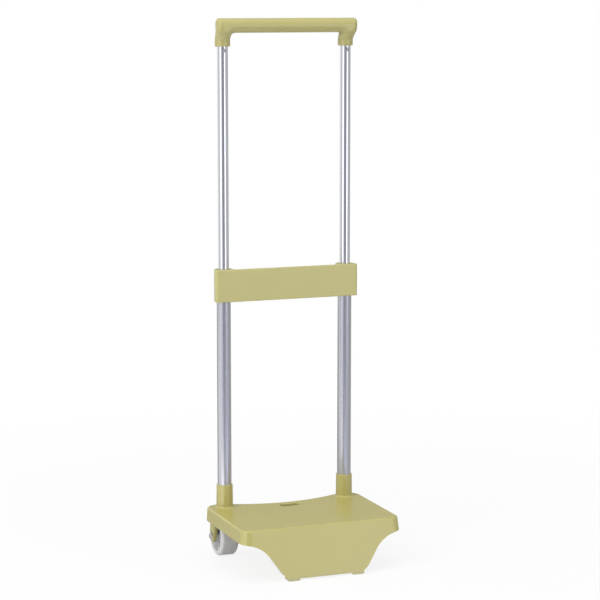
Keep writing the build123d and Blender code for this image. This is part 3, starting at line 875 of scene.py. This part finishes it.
# %% Floor
floor_size = 12.0
floor_gap = 0.0002  # keeps the face of the floor clear of the feet


def looking_straight(tree):
    """1 for the rays of the camera, of mirrors and of glass, and 0 for scattered light."""
    paths = add_node(tree, "ShaderNodeLightPath").outputs
    seen = paths["Is Camera Ray"]
    for kind in ("Is Glossy Ray", "Is Transmission Ray"):
        seen = reckon(tree, "MAXIMUM", seen, paths[kind])
    return seen


def mix_shaders(tree, factor, first, second):
    """One shader where the factor is 0, and another where it is 1."""
    return add_node(tree, "ShaderNodeMixShader", inputs={0: factor, 1: first, 2: second}).outputs[0]


bpy.ops.mesh.primitive_plane_add(size=floor_size, location=(0, 0, -floor_gap))
floor = bpy.context.object
floor.name = "floor"
material, tree, shader = start_material("pale_floor")
shader.inputs["Base Color"].default_value = (0.72, 0.72, 0.72, 1)
shader.inputs["Roughness"].default_value = 0.9
shader.inputs["Specular IOR Level"].default_value = 0.0
far = add_node(tree, "ShaderNodeVectorMath", {"operation": "LENGTH"}, {0: object_place(tree)})
whiten = ease_values(tree, far.outputs["Value"], start=0.3, end=1.4, low=0.86, high=1.0)
seen_white = reckon(tree, "MULTIPLY", whiten, looking_straight(tree))
white = add_node(tree, "ShaderNodeEmission", inputs={"Color": (1, 1, 1, 1), "Strength": 1.0})
from_below = add_node(tree, "ShaderNodeNewGeometry").outputs["Backfacing"]
clear = add_node(tree, "ShaderNodeBsdfTransparent")
mixed = mix_shaders(tree, seen_white, shader.outputs[0], white.outputs[0])
one_sided = mix_shaders(tree, from_below, mixed, clear.outputs[0])
tree.links.new(one_sided, tree.nodes["Material Output"].inputs["Surface"])
floor.data.materials.append(material)
print("floor %.0f m wide" % floor_size)

# %% [markdown]
# ## The room
# The room is white in the same way for what looks straight at it. To scattered light it is dimmer,
# which keeps the colours at a plain level.

# %% Room
room_fill = 0.40
world = bpy.data.worlds.new("studio")
bpy.context.scene.world = world
world.use_nodes = True
tree = world.node_tree
background = tree.nodes["Background"]
background.inputs["Color"].default_value = (1, 1, 1, 1)
strength = blend_values(tree, looking_straight(tree), low=room_fill, high=1.0)
tree.links.new(strength, background.inputs["Strength"])
print("room fill %.2f" % room_fill)

# %% [markdown]
# ## Lamps
# Five softboxes light the trolley, and the one on the left is the brightest. Mirrors don't see them,
# because the face of a lamp would stand as a hard white patch in the tubes and along the bar. What
# mirrors see is set up after this, with cards.

# %% Lamps
middle = Vector((0, 0, 0.42))


def around(angle, distance, height):
    """A place round the trolley: angle 0 is towards the camera, positive to the camera's right."""
    turned = math.radians(angle)
    return up * height - distance * (ahead * math.cos(turned) - across * math.sin(turned))


def softbox(name, angle, distance, height, width, tall, brightness):
    """A rectangular lamp that faces the trolley, given by the brightness of its face."""
    lamp = bpy.data.lights.new(name, "AREA")
    lamp.shape = "RECTANGLE"
    lamp.size = width
    lamp.size_y = tall
    lamp.energy = brightness * math.pi * width * tall
    made = bpy.data.objects.new(name, lamp)
    made.location = around(angle, distance, height)
    made.rotation_euler = (middle - made.location).to_track_quat("-Z", "Y").to_euler()
    made.visible_glossy = False
    bpy.context.scene.collection.objects.link(made)


# each row gives angle, distance, height, width, how tall it is, and brightness
lamps = {
    "left_softbox": (-46, 2.6, 1.75, 1.8, 2.2, 5.0),
    "right_softbox": (76, 2.6, 1.2, 1.4, 2.4, 1.7),
    "front_softbox": (25, 3.2, 1.3, 1.6, 1.6, 1.3),
    "back_softbox": (180, 3.0, 1.6, 1.8, 1.8, 1.0),
    "top_softbox": (0, 0.5, 4.2, 3.2, 3.2, 2.7),
}
for name, row in lamps.items():
    softbox(name, *row)
print("lamps:", ", ".join(lamps))

# %% [markdown]
# ## A card
# The stripes in the tubes are the rest of the studio. A card is a curved screen round the trolley with
# a plain glow. Only reflections see it, so it sheds no light on the floor and throws no shadow.

# %% Helper for cards
card_steps = 24


def card(name, start, end, grey, edges, tint):
    """A screen from one angle to another through edges of (distance, height), seen only in mirrors."""
    count = len(edges)
    corners = []
    quads = []
    for step in range(card_steps + 1):
        angle = start + (end - start) * step / card_steps
        corners += [around(angle, *edge) for edge in edges]
    for step in range(card_steps):
        for edge in range(count - 1):
            first = count * step + edge
            quads.append((first, first + count, first + count + 1, first + 1))
    mesh = bpy.data.meshes.new(name)
    mesh.from_pydata(corners, [], quads)
    made = bpy.data.objects.new(name, mesh)
    bpy.context.scene.collection.objects.link(made)
    material, tree, _ = start_material(name)
    colour = tinted((grey, grey, grey), tint)
    glow = add_node(tree, "ShaderNodeEmission", inputs={"Color": colour, "Strength": 1.0})
    tree.links.new(glow.outputs[0], tree.nodes["Material Output"].inputs["Surface"])
    mesh.materials.append(material)
    made.visible_camera = False
    made.visible_diffuse = False
    made.visible_shadow = False


print("helper for cards is ready")

# %% [markdown]
# ## Cards all round
# There are bright screens to the left and right of the camera, a dark room behind it, and greys all
# round. The thick tubes mirror the floor near by, and the thin tubes the floor and the walls further
# off. So each direction has two cards with their own greys. Those that face the front are a little
# cool. Three small cards close to the feet give the low faces of the platform their sheen.

# %% Cards
sheet_height = 0.002  # the cards lie just above the floor
floor_start = 0.33
floor_change = 2.75  # where the near floor ends and the far floor starts
wall_distance = 4.6
foot_reach = 0.50
cool = (0.97, 0.98, 1.09)
cold = (0.97, 1.0, 1.34)
near_floor = [(floor_start, sheet_height), (floor_change, sheet_height)]
far_floor = [(floor_change, sheet_height), (wall_distance, sheet_height)]
# each row gives two angles, the grey near by, the grey further off, the top of the wall and a tint
screens = {
    "left_front": (-59, -23, 0.85, 1.45, 4.0, cool),
    "behind_camera": (-23, 36, 0.52, 0.31, 4.0, cool),
    "front_right": (36, 58, 0.52, 1.95, 1.3, cool),
    "right": (58, 84, 0.60, 0.60, 4.0, cool),
    "back_right": (84, 150, 0.58, 0.48, 4.0, plain),
    "back": (150, 195, 0.60, 0.44, 4.0, plain),
    "back_left": (195, 245, 0.30, 1.00, 4.0, plain),
    "left": (245, 301, 1.25, 0.66, 4.0, plain),
}
for name, (start, end, near_grey, far_grey, top, tint) in screens.items():
    card(f"floor_card_{name}", start, end, near_grey, near_floor, tint)
    card(f"wall_card_{name}", start, end, far_grey, far_floor + [(wall_distance, top)], tint)
# each row gives two angles, the inner distance, a grey and a tint
foot_cards = {
    "corner": (-62, -26, 0.30, 3.6, plain),
    "front": (5, 60, 0.145, 1.75, cold),
    "side": (225, 275, 0.16, 0.60, plain),
}
for name, (start, end, inner, grey, tint) in foot_cards.items():
    edges = [(inner, 2 * sheet_height), (foot_reach, 2 * sheet_height)]
    card(f"foot_card_{name}", start, end, grey, edges, tint)
print("a floor card and a wall card in", len(screens), "directions, and", len(foot_cards), "foot cards")
